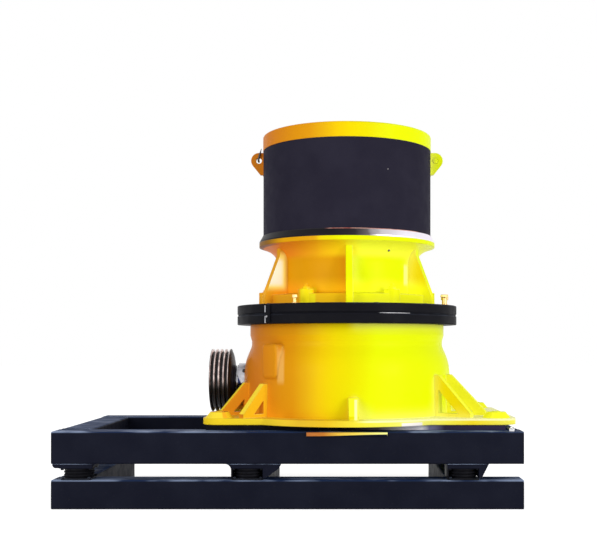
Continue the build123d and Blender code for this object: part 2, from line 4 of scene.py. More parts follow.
import bpy
import numpy as np
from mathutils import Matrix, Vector


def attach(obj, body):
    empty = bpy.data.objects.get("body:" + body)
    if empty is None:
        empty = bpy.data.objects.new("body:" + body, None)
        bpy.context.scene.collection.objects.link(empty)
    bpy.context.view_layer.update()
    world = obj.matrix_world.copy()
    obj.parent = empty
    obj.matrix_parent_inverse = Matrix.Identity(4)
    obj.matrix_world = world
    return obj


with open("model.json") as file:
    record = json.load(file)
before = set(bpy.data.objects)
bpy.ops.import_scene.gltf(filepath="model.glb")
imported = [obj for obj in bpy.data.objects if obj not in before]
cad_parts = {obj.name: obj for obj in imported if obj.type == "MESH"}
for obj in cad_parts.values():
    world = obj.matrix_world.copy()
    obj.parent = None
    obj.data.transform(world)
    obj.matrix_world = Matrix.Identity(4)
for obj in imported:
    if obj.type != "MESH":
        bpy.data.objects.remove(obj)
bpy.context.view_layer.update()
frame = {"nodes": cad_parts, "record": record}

# The crusher's axis, its levels and the radii that the added pieces sit on, in metres
CRUSHER_X = 0.367
LOWER_TOP = 0.180
UPPER_BOTTOM = 0.280
UPPER_TOP = 0.480
BASE_TOP = 0.552
FOOT_TOP = 0.590
JOINT_MID = 1.216
JOINT_TOP = 1.280
BOSS_TOP = 1.374
SPIDER_TOP = 1.756
HOPPER_TOP = 2.340
CAP_TOP = 1.986
DRIVE_Z = 0.774
HOPPER_RADIUS = 0.575
JOINT_RADIUS = 0.752
HOUSING_END = 0.742
BUSH_END = 0.910
SHAFT_END = 0.934
SKID_HALF_LENGTH = 1.46
LONG_BEAM_Y = 0.65
FRONT_MOUNTS_X = (-1.31, -0.248, 1.09)
REAR_MOUNTS_X = (-1.3575, -0.248, 1.09)
BRACKET_FRONTS = (-0.736, 0.564)
BRACKET_HALF = 0.1025
BRACKET_DEPTH = 0.172


# Surfaces: a shape is (points, quads, triangles), all numpy arrays
def grid_shape(points, wrap_rows=False, wrap_columns=True):
    """A grid of points [row, column] joined by quads; a row at one point becomes a pole of triangles."""
    rows, columns = points.shape[:2]
    row = np.arange(rows if wrap_rows else rows - 1)
    column = np.arange(columns if wrap_columns else columns - 1)
    i, j = np.meshgrid(row, column, indexing="ij")
    after_i, after_j = (i + 1) % rows, (j + 1) % columns
    number = np.arange(rows * columns).reshape(rows, columns)
    pole = np.ptp(points, axis=1).max(axis=1) < 1e-7
    number[pole] = number[pole][:, :1]
    quads = np.stack([number[i, j], number[i, after_j], number[after_i, after_j], number[after_i, j]], -1)
    quads = quads.reshape(-1, 4)
    low = quads[:, 0] == quads[:, 1]
    high = quads[:, 2] == quads[:, 3]
    triangles = np.concatenate([quads[low & ~high][:, [0, 2, 3]], quads[high & ~low][:, [0, 1, 2]]])
    quads = quads[~low & ~high]
    used = np.unique(np.concatenate([quads.ravel(), triangles.ravel()]))
    renumber = np.zeros(rows * columns, int)
    renumber[used] = np.arange(len(used))
    return points.reshape(-1, 3)[used], renumber[quads], renumber[triangles]


def revolved(profile, columns=32, trim=None):
    """Point = (r cos a, r sin a, z) for each (r, z) of the profile; trim(a) is the widest r at angle a."""
    profile = np.asarray(profile, float)
    angle = np.linspace(0, 2 * np.pi, columns, endpoint=False)
    radius = np.repeat(profile[:, :1], columns, axis=1)
    if trim is not None:
        radius = np.minimum(radius, trim(angle)[None, :])
    height = np.repeat(profile[:, 1:], columns, axis=1)
    return grid_shape(np.stack([radius * np.cos(angle), radius * np.sin(angle), height], -1))


def joined(*shapes):
    """Several shapes as one, with the later ones' point numbers moved up."""
    start, points, quads, triangles = 0, [], [], []
    for shape in shapes:
        points.append(shape[0])
        quads.append(shape[1] + start)
        triangles.append(shape[2] + start)
        start += len(shape[0])
    return np.concatenate(points), np.concatenate(quads), np.concatenate(triangles)


def copies(shape, places, turns=np.eye(3)):
    """Point = turn * point + place, for each place and its 3 by 3 turn."""
    places = np.atleast_2d(np.asarray(places, float))
    count = len(places)
    turns = np.broadcast_to(turns, (count, 3, 3))
    points = np.einsum("cij,nj->cni", turns, shape[0]) + places[:, None, :]
    steps = np.arange(count) * len(shape[0])
    quads = (shape[1][None] + steps[:, None, None]).reshape(-1, 4)
    triangles = (shape[2][None] + steps[:, None, None]).reshape(-1, 3)
    return points.reshape(-1, 3), quads, triangles


def moved(shape, place):
    """The shape shifted by place."""
    return shape[0] + np.asarray(place, float), shape[1], shape[2]


def in_radians(degrees):
    """One angle or several, in degrees, as a row of radians."""
    return np.radians(np.atleast_1d(np.asarray(degrees, float)))


def upright(angles):
    """Turns about +Z by angles in degrees."""
    a = in_radians(angles)
    turns = np.tile(np.eye(3), (len(a), 1, 1))
    turns[:, 0, 0] = turns[:, 1, 1] = np.cos(a)
    turns[:, 1, 0] = np.sin(a)
    turns[:, 0, 1] = -np.sin(a)
    return turns


def outward(angles):
    """Turns that carry +Z to the horizontal direction at each angle, with +Y kept upwards."""
    return upright(angles) @ np.array([(0, 0, 1), (1, 0, 0), (0, 1, 0)])


DOWNWARD = np.diag([1.0, -1.0, -1.0])
TO_LEFT = outward(180)[0]


def on_circle(radius, angles, height):
    """Places on a level circle about the crusher's axis, at angles in degrees."""
    a = in_radians(angles)
    return np.stack([CRUSHER_X + radius * np.cos(a), radius * np.sin(a), np.full_like(a, height)], -1)


def on_drive_circle(radius, angles, out):
    """Places on a circle about the drive's axis, at a distance out from the crusher's axis."""
    a = in_radians(angles)
    return np.stack([np.full_like(a, CRUSHER_X - out), radius * np.cos(a), DRIVE_Z + radius * np.sin(a)], -1)


def hexagon(across_flats):
    """r(a) = half the distance across flats / cos(a, folded into 30 degrees each side of a flat)."""
    def radius(angle):
        folded = (angle + np.pi / 6) % (np.pi / 3) - np.pi / 6
        return across_flats / 2 / np.cos(folded)
    return radius


def hex_prism(across_flats, height):
    """A hexagon carried up, its corners trimmed at both ends by a cone about its axis."""
    rise, inner, corner = 0.096 * across_flats, 0.475 * across_flats, 0.6 * across_flats
    profile = [(0, 0), (inner, 0), (corner, rise), (corner, height - rise), (inner, height), (0, height)]
    return revolved(profile, 24, hexagon(across_flats))


def bar(radius, height, columns):
    """A plain round bar."""
    return revolved([(0, 0), (radius, 0), (radius, height), (0, height)], columns)


def washer(radius, height):
    """A flat disc with its upper edge bevelled."""
    edge = min(height / 3, 0.002)
    return revolved([(0, 0), (radius, 0), (radius, height - edge), (radius - edge, height), (0, height)], 28)


def stud(radius, height, pitch):
    """A round bar with a bevelled tip, whose radius goes in and out once per pitch, as a thread's does."""
    turns = max(2, int(height / pitch))
    z = np.linspace(0, height - radius / 3, 2 * turns)
    r = np.where(np.arange(2 * turns) % 2 == 0, radius, 0.86 * radius)
    tip = [(radius * 0.72, height), (0, height)]
    return revolved(np.concatenate([[(0, 0)], np.stack([r, z], -1), tip]), 16)


def hex_bolt(across_flats, head):
    """A hexagon head on a round flange."""
    flange, thick = 0.62 * across_flats, 0.12 * across_flats
    return joined(washer(flange, thick), moved(hex_prism(across_flats, head), (0, 0, thick * 0.9)))


def socket_screw(radius, height):
    """A round head with a bevelled rim and a six-sided hollow sunk in its end."""
    columns = 24
    hollow, edge = radius * 0.5, radius * 0.12
    mouth, depth = hollow * 1.16, min(height * 0.6, radius)
    profile = [(0, 0), (radius, 0), (radius, height - edge), (radius - edge, height), (mouth, height)]
    angle = np.linspace(0, 2 * np.pi, columns, endpoint=False)
    wall = hexagon(2 * hollow)(angle)
    rows = [(np.full(columns, mouth), height), (wall, height - depth * 0.15), (wall, height - depth),
            (np.zeros(columns), height - depth)]
    points = [np.stack([r * np.cos(angle), r * np.sin(angle), np.full(columns, z)], -1) for r, z in rows]
    return joined(revolved(profile, columns), grid_shape(np.stack(points)))


def round_corners(half_x, half_y, corner, steps):
    """(centres, ways out) of a rectangle's round corners: a point is its centre + radius * its way."""
    turn = (np.linspace(0, np.pi / 2, steps) + np.arange(4)[:, None] * np.pi / 2).ravel()
    centres = np.repeat([(1, 1), (-1, 1), (-1, -1), (1, -1)], steps, axis=0)
    return centres * (half_x - corner, half_y - corner), np.stack([np.cos(turn), np.sin(turn)], -1)


def slab(half_x, half_y, height, corner, edge):
    """A rectangle with round corners carried up from z = 0, its ends drawn in along a quarter circle."""
    centres, ways = round_corners(half_x, half_y, corner, 5)
    turn = np.linspace(0, np.pi / 2, 4)
    draw_in, rise = edge * (1 - np.cos(turn)), edge * np.sin(turn)
    reach = corner - np.concatenate([draw_in[::-1], draw_in])
    z = np.repeat(np.concatenate([edge - rise[::-1], height - edge + rise])[:, None], 20, axis=1)
    rows = np.concatenate([centres + reach[:, None, None] * ways, z[..., None]], -1)
    ends = rows[[0, -1]] * (0, 0, 1)
    return grid_shape(np.concatenate([ends[:1], rows, ends[1:]]))


def carried(section, path, side, closed=False):
    """Point = path(s) + x * side(s) + y * (tangent(s) x side(s)), for each (x, y) of a closed outline."""
    path = np.asarray(path, float)
    if closed:
        tangent = np.roll(path, -1, axis=0) - np.roll(path, 1, axis=0)
    else:
        tangent = np.gradient(path, axis=0)
    tangent /= np.linalg.norm(tangent, axis=1, keepdims=True)
    side = np.broadcast_to(np.asarray(side, float), path.shape)
    side = side - np.sum(side * tangent, axis=1, keepdims=True) * tangent
    side /= np.linalg.norm(side, axis=1, keepdims=True)
    up = np.cross(tangent, side)
    section = np.asarray(section, float)
    if section.ndim == 2:
        section = np.broadcast_to(section, (len(path), *section.shape))
    points = path[:, None, :] + section[:, :, :1] * side[:, None, :] + section[:, :, 1:] * up[:, None, :]
    if closed:
        return grid_shape(points, wrap_rows=True)
    ends = [np.repeat(points[k].mean(axis=0)[None, None], points.shape[1], axis=1) for k in (0, -1)]
    return grid_shape(np.concatenate([ends[0], points, ends[1]]))


def facing_out(shape):
    """The shape with its faces turned round if the volume they close in is negative."""
    points, quads, triangles = shape
    halves = np.concatenate([quads[:, [0, 1, 2]], quads[:, [0, 2, 3]], triangles])
    first, second, third = points[halves[:, 0]], points[halves[:, 1]], points[halves[:, 2]]
    if np.sum(first * np.cross(second, third)) < 0:
        return points, quads[:, ::-1], triangles[:, ::-1]
    return shape


def between_lines(front, back, way):
    """The strip between two lines of matching points, carried along a vector and closed."""
    front, back, way = (np.asarray(part, float) for part in (front, back, way))
    loop = np.concatenate([front, back[::-1]])
    walls = grid_shape(np.stack([loop, loop + way]))
    low = grid_shape(np.stack([back, front]), wrap_columns=False)
    high = grid_shape(np.stack([front + way, back + way]), wrap_columns=False)
    return facing_out(joined(walls, low, high))


def round_section(radius, sides):
    """A circle's outline, or one for each of several radii."""
    a = np.linspace(0, 2 * np.pi, sides, endpoint=False)
    return np.asarray(radius)[..., None, None] * np.stack([np.cos(a), np.sin(a)], -1)


def weld(path, side, radius, closed=False):
    """A round bead carried along a path, its radius swelling and sinking by an eighth once per ripple."""
    ripple = 0.011
    path = np.asarray(path, float)
    if closed:
        path = np.concatenate([path, path[:1]])
    reach = np.concatenate([[0], np.cumsum(np.linalg.norm(np.diff(path, axis=0), axis=1))])
    steps = max(8, int(reach[-1] / ripple * 3))
    s = np.linspace(0, reach[-1], steps, endpoint=not closed)
    fine = np.stack([np.interp(s, reach, path[:, k]) for k in range(3)], -1)
    swell = 1 + 0.125 * np.sin(2 * np.pi * s / ripple)
    return carried(round_section(radius * swell, 6), fine, side, closed)


def beam_loop(centre_x, y, low, high, width):
    """The outline of an upright box section that faces +Y, with rounded corners, as a closed path."""
    corner = 0.014
    centres, ways = round_corners(width / 2, (high - low) / 2, corner, 4)
    x, z = (centres + corner * ways).T
    return np.stack([centre_x + x, np.full_like(x, y), (low + high) / 2 + z], -1)


# Materials: each finish is a Principled shader fed by noise and by places on Object coordinates
def add(owner, kind, inputs=None, **settings):
    """A node in the tree that owner is or belongs to; its inputs are values or other nodes' outputs."""
    tree = owner.id_data
    made = tree.nodes.new("ShaderNode" + kind)
    for name, value in settings.items():
        setattr(made, name, value)
    for key, value in (inputs or {}).items():
        if isinstance(value, bpy.types.NodeSocket):
            tree.links.new(value, made.inputs[key])
        else:
            made.inputs[key].default_value = value
    return made


def empty_tree(owner):
    """The node tree of a material or a world, cleared."""
    owner.use_nodes = True
    owner.node_tree.nodes.clear()
    return owner.node_tree


def blank(name, **constants):
    """A new material and its tree, with one Principled shader whose fixed sockets are set on it."""
    material = bpy.data.materials.new(name)
    tree = empty_tree(material)
    shader = add(tree, "BsdfPrincipled", {key.replace("_", " "): value for key, value in constants.items()})
    add(tree, "OutputMaterial", {0: shader.outputs[0]})
    return material, tree


def finished(material, **values):
    """The material, once each value is linked to its shader's input of that name."""
    shader = material.node_tree.nodes["Principled BSDF"]
    for key, value in values.items():
        material.node_tree.links.new(value, shader.inputs[key.replace("_", " ")])
    return material


def place_of(tree):
    """The surface's own Object coordinates."""
    return add(tree, "TexCoord").outputs["Object"]


def noise(tree, scale, detail, stretch=None):
    """Noise from 0 to 1 on Object coordinates, stretched where a finish has a direction."""
    place = place_of(tree)
    if stretch:
        place = add(tree, "Mapping", {"Vector": place, "Scale": stretch}).outputs[0]
    return add(tree, "TexNoise", {"Vector": place, "Scale": scale, "Detail": detail}).outputs[0]


def ranged(value, low, high, out_low=0.0, out_high=1.0, way="SMOOTHSTEP"):
    """The value's span from low to high, carried onto out_low to out_high and held there."""
    inputs = {"Value": value, "From Min": low, "From Max": high, "To Min": out_low, "To Max": out_high}
    return add(value, "MapRange", inputs, clamp=True, interpolation_type=way).outputs[0]


def steady(value, low, high):
    """The value's span from low to high as 0 to 1, in even steps."""
    return ranged(value, low, high, way="LINEAR")


def mottle(tree, scale, detail, low=0.3, high=0.7, out_low=0.0, out_high=1.0):
    """Noise whose span from low to high is carried onto out_low to out_high."""
    return ranged(noise(tree, scale, detail), low, high, out_low, out_high)


def within(value, low, high, soft):
    """1 where the value is between low and high, falling to 0 over the soft distance outside them."""
    return product(ranged(value, low - soft, low), ranged(value, high + soft, high))


def worked(operation, first, second):
    """One operation on two numbers."""
    return add(first, "Math", {0: first, 1: second}, operation=operation).outputs[0]


def sum_of(first, second):
    """first + second."""
    return worked("ADD", first, second)


def product(first, *others):
    """All the numbers multiplied together."""
    for other in others:
        first = worked("MULTIPLY", first, other)
    return first


def blended(share, first, second):
    """first and second, two numbers, mixed by share."""
    return add(share, "Mix", {0: share, 2: first, 3: second}, data_type="FLOAT").outputs[0]


def rgb(red, green, blue):
    """A colour written as it shows on a screen, 0 to 255, as the shader reads it."""
    value = np.array([red, green, blue]) / 255
    linear = np.where(value <= 0.04045, value / 12.92, ((value + 0.055) / 1.055) ** 2.4)
    return (*[float(part) for part in linear], 1.0)


def tinted(share, first, second):
    """first and second mixed by share, each a node's colour or the three numbers of a screen colour."""
    first, second = (rgb(*end) if isinstance(end, tuple) else end for end in (first, second))
    return add(share, "Mix", {0: share, 6: first, 7: second}, data_type="RGBA").outputs[2]


def coated(colour, coat, *shares):
    """The colour, covered with the coat by the product of the shares."""
    return tinted(product(*shares), colour, coat)


def colour_ramp(share, colours):
    """The share's colour among evenly interpolated (position, colour) stops."""
    ramp = add(share, "ValToRGB", {0: share})
    stops = ramp.color_ramp.elements
    stops[0].position, stops[0].color = colours[0][0], rgb(*colours[0][1])
    stops[1].position, stops[1].color = colours[-1][0], rgb(*colours[-1][1])
    for position, colour in colours[1:-1]:
        stops.new(position).color = rgb(*colour)
    return ramp.outputs[0]


def bumped(height, depth, strength, normal=None):
    """A bump of that depth in metres, on top of another normal where one is given."""
    inputs = {"Height": height, "Distance": depth, "Strength": strength}
    if normal is not None:
        inputs["Normal"] = normal
    return add(height, "Bump", inputs).outputs[0]


def round_normal(tree, radius):
    """The normal rounded over the edges."""
    return add(tree, "Bevel", {"Radius": radius}, samples=6).outputs[0]


def likeness(first, second):
    """The dot product of two directions."""
    return add(first, "VectorMath", {0: first, 1: second}, operation="DOT_PRODUCT").outputs["Value"]


def edge_share(rounded):
    """How much of an edge the point is on, 0 to 1, by how the rounded normal leaves the flat one."""
    flat = add(rounded, "NewGeometry").outputs["Normal"]
    return ranged(likeness(rounded, flat), 0.995, 0.90)


def part_of(vector, axis):
    """The vector's part along an axis."""
    return add(vector, "SeparateXYZ", {0: vector}).outputs[axis]


def measure(tree, name):
    """A point's place across the crusher's axis, its height, or how far its surface faces one way."""
    if name == "across":
        return worked("SUBTRACT", part_of(place_of(tree), "X"), CRUSHER_X)
    if name == "height":
        return part_of(place_of(tree), "Z")
    axis = {"rightward": "X", "backward": "Y", "upward": "Z"}[name]
    return part_of(add(tree, "NewGeometry").outputs["Normal"], axis)


def patch(tree, **limits):
    """1 where all measures are in their limits: (low, high, soft), or (where it is 0, where it is 1)."""
    shares = []
    for name, limit in limits.items():
        share = within if len(limit) == 3 else ranged
        shares.append(share(measure(tree, name), *limit))
    return product(*shares)


# The yellow enamel, with painted light and shade in its colour over the castings, and wear at its edges
ENAMEL_SHADE_TO_LIGHT = [
    (0.0, (206, 122, 30)), (0.10, (215, 134, 24)), (0.20, (221, 146, 18)), (0.32, (223, 152, 14)),
    (0.43, (228, 173, 12)), (0.54, (237, 198, 9)), (0.65, (234, 211, 5)), (0.76, (229, 217, 5)),
    (0.87, (228, 228, 5)), (0.98, (230, 242, 7))]
# Across the crusher's axis, where the painted shade at the left steps to the painted light at the right
MIDDLE_RIB = (-0.012, -0.004)
ABOVE_JOINT = (JOINT_MID, JOINT_TOP)
ABOVE_SKID = (UPPER_TOP - 0.002, UPPER_TOP + 0.002)


def enamel_light_share(tree):
    """Where the castings' enamel lies between orange, 0, and lemon, 1, by the crusher's parts: painted shade
    towards the left, painted light towards the right and under the flange at the left, and painted shade on
    the right rib's side.
    """
    across = measure(tree, "across")
    # Painted light and shade: orange for the shaded left, lemon for the lit right
    lower_shell = steady(across, -0.60, 0.20)
    rim = steady(across, -0.52, 0.34)
    under_flange = patch(tree, height=(1.57, 1.66), across=(-0.15, -0.03, 0.07))
    left_half = sum_of(product(under_flange, 0.26), 0.37)
    on_lip = patch(tree, height=(1.672, 1.684))
    right_half = blended(on_lip, patch(tree, across=MIDDLE_RIB), patch(tree, across=(-0.20, 0.05)))
    upper_shell = blended(right_half, left_half, 1.0)
    share = blended(patch(tree, height=ABOVE_JOINT), lower_shell, upper_shell)
    share = blended(patch(tree, height=(1.90, 2.10)), share, rim)
    # Painted shade on the left-facing side of the rib at the right
    right_rib_shade = patch(tree, rightward=(-0.37, -0.46), across=(0.36, 0.42), height=(1.72, 1.68))
    return sum_of(share, product(right_rib_shade, -0.36))


def hollow_shade_and_light(tree, colour):
    """The colour with painted shade, orange-brown, in the left half's hollows, and painted light in the
    hollows low at the left, orange-gold, and in the right half's, pale lemon.
    """
    hollow = add(tree, "AmbientOcclusion", {"Distance": 0.12}, samples=6).outputs["AO"]
    hollow = ranged(hollow, 0.85, 0.25)
    on_right = patch(tree, across=(-0.03, 0.07))
    low_left = patch(tree, height=(0.84, 0.78), across=(-0.36, -0.44))
    # Painted shade: orange-brown in the left half's hollows
    painted_shade_share = blended(sum_of(on_right, low_left), 0.22, 0.0)
    colour = coated(colour, (226, 122, 26), hollow, painted_shade_share)
    # Painted light: orange-gold in the hollows low at the left, pale lemon in the right half's
    dust_and_light_share = blended(on_right, product(low_left, 0.8), 0.85)
    painted_light_colour = tinted(on_right, (255, 178, 34), (255, 253, 130))
    return coated(colour, painted_light_colour, hollow, dust_and_light_share)


def top_shell_paint(tree, colour):
    """The top shell, with painted light: a brighter foot band and boss and a paler flare under the flange;
    and dark brown on the lip's left end.
    """
    above_joint = patch(tree, height=ABOVE_JOINT)
    # Painted light: a brighter foot band and boss
    band = tinted(patch(tree, across=(-0.34, -0.22)), (250, 176, 34), (255, 204, 22))
    band = coated(band, (255, 255, 20), patch(tree, across=MIDDLE_RIB))
    colour = coated(colour, band, patch(tree, height=(1.47, 1.37)), above_joint, 0.85)
    boss = patch(tree, across=(-0.29, -0.21, 0.02), backward=(-0.2, -0.5), height=(1.40, 1.376))
    colour = coated(colour, (255, 240, 26), boss, above_joint, 0.9)
    # Painted light under the flange, orange at the left to lemon at the right
    flare = colour_ramp(steady(measure(tree, "across"), -0.56, 0.10), [
        (0.0, (236, 124, 44)), (0.30, (240, 140, 34)), (0.55, (248, 184, 30)), (0.80, (255, 222, 26)),
        (1.0, (255, 255, 70))])
    underside = patch(tree, upward=(-0.10, -0.50), height=(1.56, 1.70, 0.01))
    colour = coated(colour, flare, underside, 0.8)
    # Dark brown on the lip's left end
    lip_left_brown = patch(tree, across=(-0.40, -0.545), height=(1.676, 1.708, 0.004))
    return coated(colour, (96, 62, 28), lip_left_brown, 0.8)


def base_rim_paint(tree, colour):
    """The base's rim, with painted highlights from gold to pale lemon, a painted highlight on the ledge and a
    white painted sheen on the lower edge at the right.
    """
    # Painted highlights along the base's rim, gold to pale lemon
    rim = colour_ramp(steady(measure(tree, "across"), -0.95, 1.10), [
        (0.0, (252, 216, 36)), (0.18, (244, 214, 46)), (0.27, (240, 204, 50)), (0.32, (226, 184, 44)),
        (0.40, (232, 190, 38)), (0.50, (238, 226, 60)), (0.58, (236, 232, 84)), (0.68, (244, 242, 126)),
        (0.77, (249, 238, 80)), (0.85, (247, 219, 40)), (1.0, (247, 243, 100))])
    below_top = patch(tree, height=(BASE_TOP + 0.004, BASE_TOP - 0.002))
    colour = coated(colour, rim, below_top, patch(tree, height=ABOVE_SKID))
    # Painted highlight on the ledge
    ledge = patch(tree, height=(0.541, 0.552, 0.003), across=(0.03, 0.16))
    colour = coated(colour, (255, 255, 196), ledge, 0.75)
    # Painted white sheen on the lower edge at the right
    lower_edge_sheen = patch(tree, across=(0.345, 0.465, 0.012), height=(0.505, 0.530, 0.006))
    return coated(colour, (244, 238, 240), lower_edge_sheen, 0.9)


def gusset_paint(tree, colour):
    """The gussets, with painted light: pale slopes where they face up, a painted highlight strip down the
    middle one, and lighter faces at both sides.
    """
    # Painted light on the slopes that face up
    slopes = patch(tree, upward=(0.42, 0.78, 0.08), height=(0.86, 0.84))
    slope_colour = tinted(patch(tree, across=(-0.3, 0.0)), (255, 232, 60), (250, 250, 44))
    colour = coated(colour, slope_colour, slopes, 0.85)
    # Painted highlight in a strip down the middle gusset
    strip = patch(tree, across=(0.049, 0.060, 0.006), height=(0.558, 0.674, 0.006))
    colour = coated(colour, (255, 254, 176), strip, 0.9)
    # Painted light on the gussets' faces at both sides
    left = patch(tree, rightward=(0.24, 0.34), height=(0.556, 0.775, 0.004), across=(-0.470, -0.485))
    left_colour = tinted(patch(tree, rightward=(0.45, 0.58)), (255, 178, 40), (252, 206, 34))
    colour = coated(colour, left_colour, left, 0.85)
    right = patch(tree, rightward=(-0.36, -0.29, 0.04), height=(0.556, 0.835, 0.004), across=(0.60, 0.64))
    return coated(colour, (255, 248, 52), right, 0.85)


def painted_highlights(tree, colour):
    """Painted highlights on the left rib's face, in a streak at the right and along the cover pad's edge."""
    rib = patch(tree, rightward=(0.34, 0.48), across=(-0.385, -0.425), height=(1.41, 1.60, 0.05))
    colour = coated(colour, (255, 240, 128), rib)
    core = patch(tree, across=(-0.412, -0.440), height=(1.43, 1.56, 0.04))
    colour = coated(colour, (255, 253, 228), rib, core)
    streak = patch(tree, across=(0.380, 0.399, 0.007), height=(1.43, 1.53, 0.03))
    colour = coated(colour, (255, 255, 176), streak, 0.7)
    pad_edge = patch(tree, across=(-0.436, -0.408, 0.016), height=(0.80, 0.96, 0.05))
    return coated(colour, (244, 196, 112), pad_edge, 0.55)


def cleat_paint(tree, colour):
    """The cleats: painted shade and light from brown at the left to pale gold at the right, with skid paint
    over the lower corner.
    """
    across = measure(tree, "across")
    # Painted shade and light along the cleat: brown at the left to pale gold at the right
    paint = colour_ramp(steady(across, -0.235, 0.215), [
        (0.0, (184, 112, 56)), (0.20, (196, 122, 50)), (0.42, (238, 196, 74)), (0.65, (246, 220, 96)),
        (1.0, (255, 250, 150))])
    line = ranged(across, -0.24, 0.26, 0.4535, 0.4650)
    below = worked("SUBTRACT", line, measure(tree, "height"))
    paint = coated(paint, (18, 21, 36), ranged(below, -0.0015, 0.0015))
    return coated(colour, paint, patch(tree, height=(UPPER_TOP, UPPER_TOP - 0.002)))


def yellow_enamel():
    """Machine enamel on castings, with light and shade painted into its colour: orange-gold at the shaded
    left, lemon at the lit right, painted highlights on edges facing the light, and wear at its edges.
    """
    material, tree = blank("yellow_enamel", Specular_IOR_Level=0.03, IOR=1.42)
    share = sum_of(enamel_light_share(tree), mottle(tree, 1.7, 2, 0.3, 0.7, -0.02, 0.02))
    colour = colour_ramp(share, ENAMEL_SHADE_TO_LIGHT)
    for layer in (hollow_shade_and_light, top_shell_paint, base_rim_paint, gusset_paint, painted_highlights, cleat_paint):
        colour = layer(tree, colour)
    cover_pad = patch(tree, across=(-0.62, -0.36, 0.02), height=(0.78, 1.03, 0.02))
    rounded = round_normal(tree, blended(cover_pad, 0.009, 0.034))
    edge = edge_share(rounded)
    # Painted highlight on rounded edges that face the light at the right
    lit_edge_share = ranged(likeness(rounded, (0.76, -0.58, 0.29)), 0.72, 0.95)
    colour = coated(colour, (255, 248, 150), edge, lit_edge_share, 0.45)
    colour = coated(colour, (170, 112, 30), edge, mottle(tree, 55, 5, 0.62, 0.70), 0.25)
    # Faint pale dust on upward faces, which also lightens their tops as painted light
    dust_and_light_share = product(patch(tree, upward=(0.8, 0.98)), mottle(tree, 24, 4, 0.4, 0.7))
    colour = coated(colour, (206, 180, 110), dust_and_light_share, 0.08)
    cast = bumped(noise(tree, 42, 4), 0.0009, 0.4, rounded)
    return finished(material, Base_Color=colour, Roughness=mottle(tree, 7, 4, 0.3, 0.75, 0.26, 0.40),
                    Normal=bumped(noise(tree, 260, 2), 0.0002, 0.4, cast))


# The other finishes
def dark_enamel(name, colour, top_colour, rough, shine, wave, sheen_strength):
    """Dark satin enamel on plate, with painted sky light: lighter and bluer where it faces up, and pale
    painted reflections along its upper edges and on the front top.
    """
    material, tree = blank(name, Specular_IOR_Level=shine)
    base = tinted(mottle(tree, 5, 5, 0.3, 0.75), colour, tuple(part + 5 for part in colour))
    # Painted light: lighter, bluer tops where the surface faces up
    upward = patch(tree, upward=(0.3, 0.95))
    base = coated(base, top_colour, upward)
    rounded = round_normal(tree, 0.006)
    # Painted sky reflections: pale streaks on upper edges and on the front top
    lit_upper_edges = product(edge_share(rounded), ranged(part_of(rounded, "Z"), 0.15, 0.45))
    front = part_of(place_of(tree), "Y")
    lit_front_top = product(upward, ranged(front, -0.62, -0.72, 0.12, 0.55))
    streaks = ranged(noise(tree, 3.0, 3, (1.0, 2.0, 2.0)), 0.42, 0.62)
    base = coated(base, (176, 194, 228), sum_of(lit_upper_edges, lit_front_top), streaks, sheen_strength)
    base = coated(base, (92, 92, 98), mottle(tree, 90, 5, 0.62, 0.80, 0.0, 0.08))
    plate = bumped(noise(tree, 5, 2), wave, 0.4, rounded)
    return finished(material, Base_Color=base,
                    Roughness=mottle(tree, 14, 4, 0.3, 0.7, rough - 0.05, rough + 0.08),
                    Normal=bumped(noise(tree, 200, 2), 0.0001, 0.3, plate))


def moulded_rubber():
    """Matt moulded rubber with fine grain, greyed by a dusting in patches; along the front pad, a painted
    sheen from dark through white to lilac towards the right.
    """
    material, tree = blank("moulded_rubber", Specular_IOR_Level=0.08)
    rubber = tinted(mottle(tree, 28, 5, 0.45, 0.8, 0.0, 0.4), (12, 12, 17), (34, 34, 40))
    # Painted sheen along the front pad: dark at the left, through grey-mauve to white, then lilac towards the
    # right
    pale = colour_ramp(steady(measure(tree, "across"), 0.02, 0.98), [
        (0.0, (40, 36, 38)), (0.18, (116, 106, 110)), (0.34, (252, 248, 255)), (0.47, (255, 252, 255)),
        (0.52, (120, 120, 150)), (0.62, (46, 40, 60)), (1.0, (52, 44, 72))])
    on_pad = patch(tree, height=ABOVE_SKID, across=(-0.02, 0.12))
    rings = add(tree, "TexWave", {"Vector": place_of(tree), "Scale": 60.0, "Distortion": 0.4},
                bands_direction="Z").outputs[1]
    ringed = bumped(rings, 0.0005, 0.5)
    return finished(material, Base_Color=coated(rubber, pale, on_pad),
                    Roughness=mottle(tree, 40, 3, 0.3, 0.7, 0.55, 0.8),
                    Normal=bumped(noise(tree, 420, 3), 0.0003, 0.6, ringed))


def turned_ring_steel():
    """A turned steel ring: painted shade, near black, at the left, and bare steel with a painted bright
    reflection at the right.
    """
    material, tree = blank("turned_ring_steel", Specular_IOR_Level=0.10)
    # Painted shade at the left to a painted bright reflection at the right
    share = sum_of(patch(tree, across=(-0.28, 0.58)), mottle(tree, 6, 4, 0.3, 0.7, -0.05, 0.05))
    colour = colour_ramp(share, [
        (0.12, (20, 18, 22)), (0.36, (42, 38, 42)), (0.50, (104, 98, 98)), (0.62, (206, 200, 204)),
        (0.86, (244, 238, 248))])
    grooves = noise(tree, 3.0, 2, (0.4, 0.4, 260.0))
    return finished(material, Base_Color=colour, Metallic=ranged(share, 0.34, 0.60),
                    Roughness=ranged(grooves, 0.3, 0.7, 0.30, 0.48),
                    Normal=bumped(grooves, 0.0002, 0.5, round_normal(tree, 0.003)))


